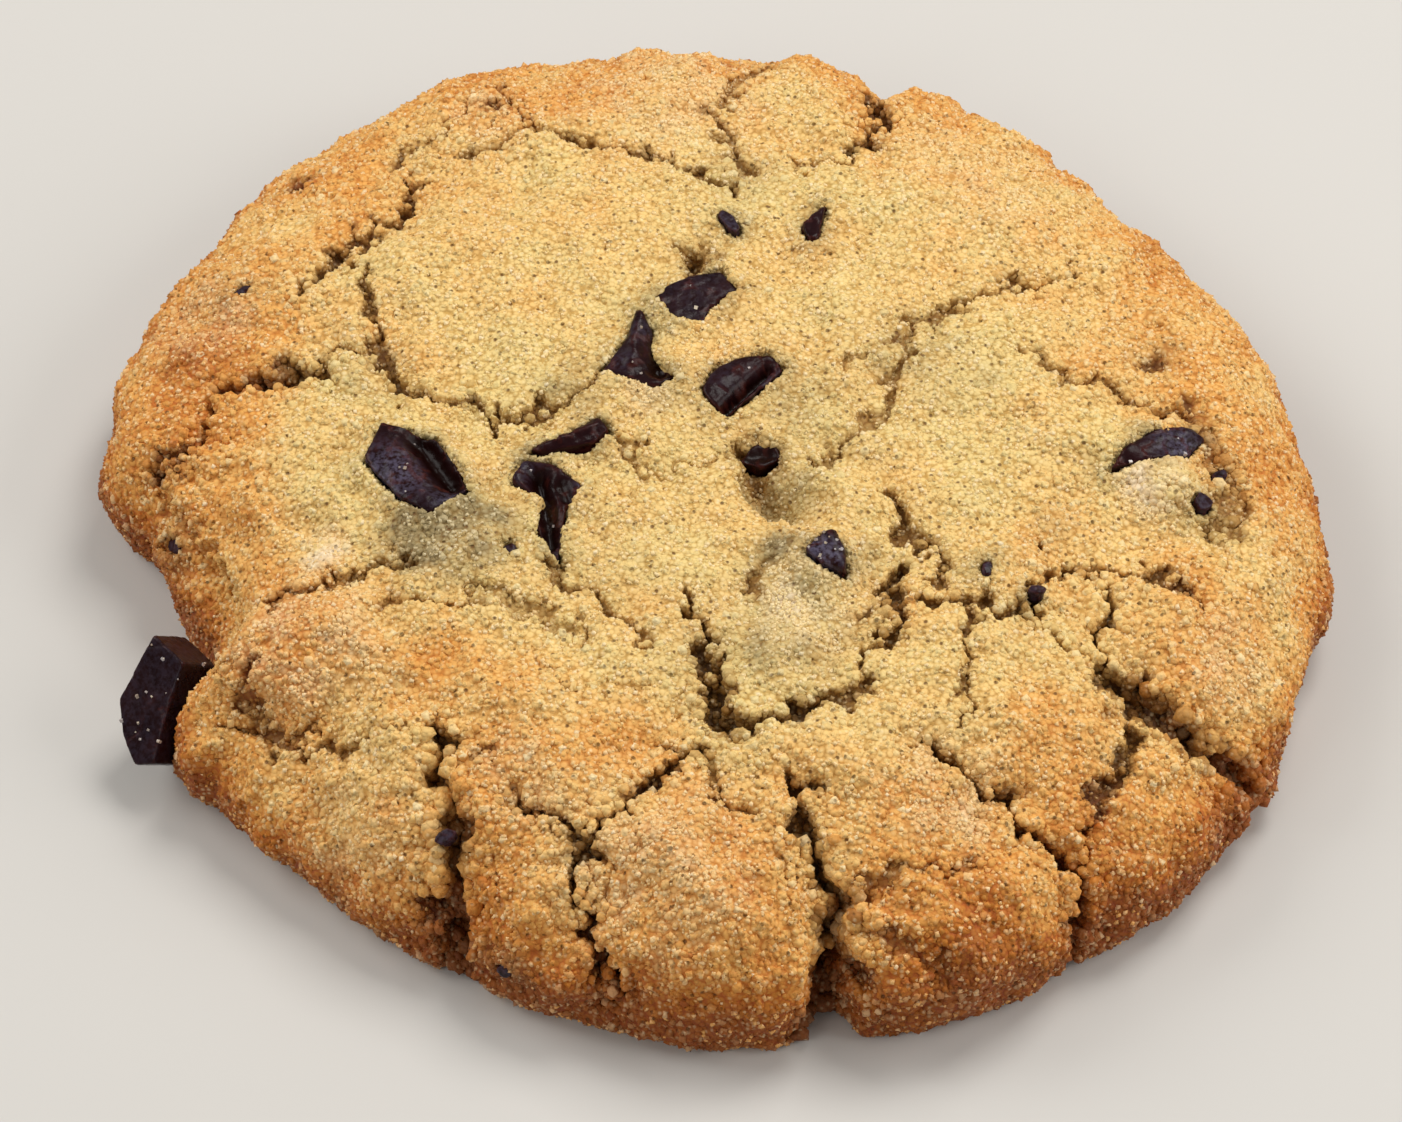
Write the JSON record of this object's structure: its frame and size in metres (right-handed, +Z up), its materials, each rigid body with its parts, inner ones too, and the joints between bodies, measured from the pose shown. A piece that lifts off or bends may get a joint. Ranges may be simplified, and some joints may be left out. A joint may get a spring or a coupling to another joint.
{
  "type": "chocolate chip cookie",
  "caption": "Round baked cookie with a domed, cracked crust and dark chocolate chunks set into it; lies flat on its base.",
  "frame": {"origin": "middle of the flat base, on the surface that the cookie rests on", "axes": "+Z up through the crown, -Y towards the viewer of the picture, +X to the viewer's right"},
  "size_m": [0.0867, 0.0871, 0.0153],
  "materials": {
    "dough": "baked, sugary, matte",
    "chocolate": "semi-gloss dark chocolate"
  },
  "bodies": {
    "root": {"bit_01": "chocolate", "bit_02": "chocolate", "bit_03": "chocolate", "bit_04": "chocolate", "bit_05": "chocolate", "bit_06": "chocolate", "bit_07": "chocolate", "bit_08": "chocolate", "bit_09": "chocolate", "bit_10": "chocolate", "chunk_big": "chocolate", "chunk_block": "chocolate", "chunk_dusty": "chocolate", "chunk_far": "chocolate", "chunk_ridged": "chocolate", "chunk_right": "chocolate", "chunk_shard": "chocolate", "chunk_split": "chocolate", "chunk_sunken": "chocolate", "chunk_top": "chocolate", "chunk_wedge": "chocolate", "dough": "dough"}
  },
  "joints": []
}
